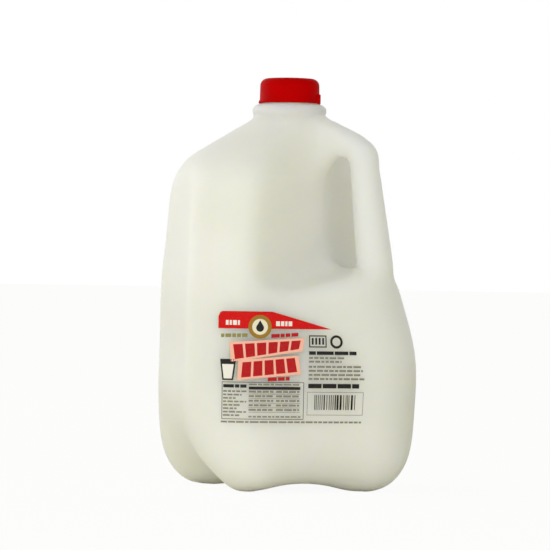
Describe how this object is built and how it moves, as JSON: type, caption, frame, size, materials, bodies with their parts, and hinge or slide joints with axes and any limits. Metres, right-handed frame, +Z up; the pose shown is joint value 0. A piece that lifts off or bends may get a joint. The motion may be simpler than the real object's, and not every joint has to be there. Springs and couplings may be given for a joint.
{
  "type": "yogurt drink bottle",
  "caption": "Translucent blow-moulded gallon jug of yogurt drink, shut with a press-on cap, with a moulded-in corner handle, a collared neck, lobed feet and a printed panel on one wall",
  "frame": {"origin": "on the neck's axis, at the height of the feet", "axes": "+Z up along the neck's axis, +X towards the corner with the handle, +Y to the right of someone who looks along -X at that corner from outside; the mould parts on the XZ plane"},
  "size_m": [0.181, 0.1802, 0.2658],
  "materials": {
    "jug": "satin",
    "cap": "satin"
  },
  "bodies": {
    "root": {"jug": "jug", "cap": "cap"}
  },
  "joints": []
}
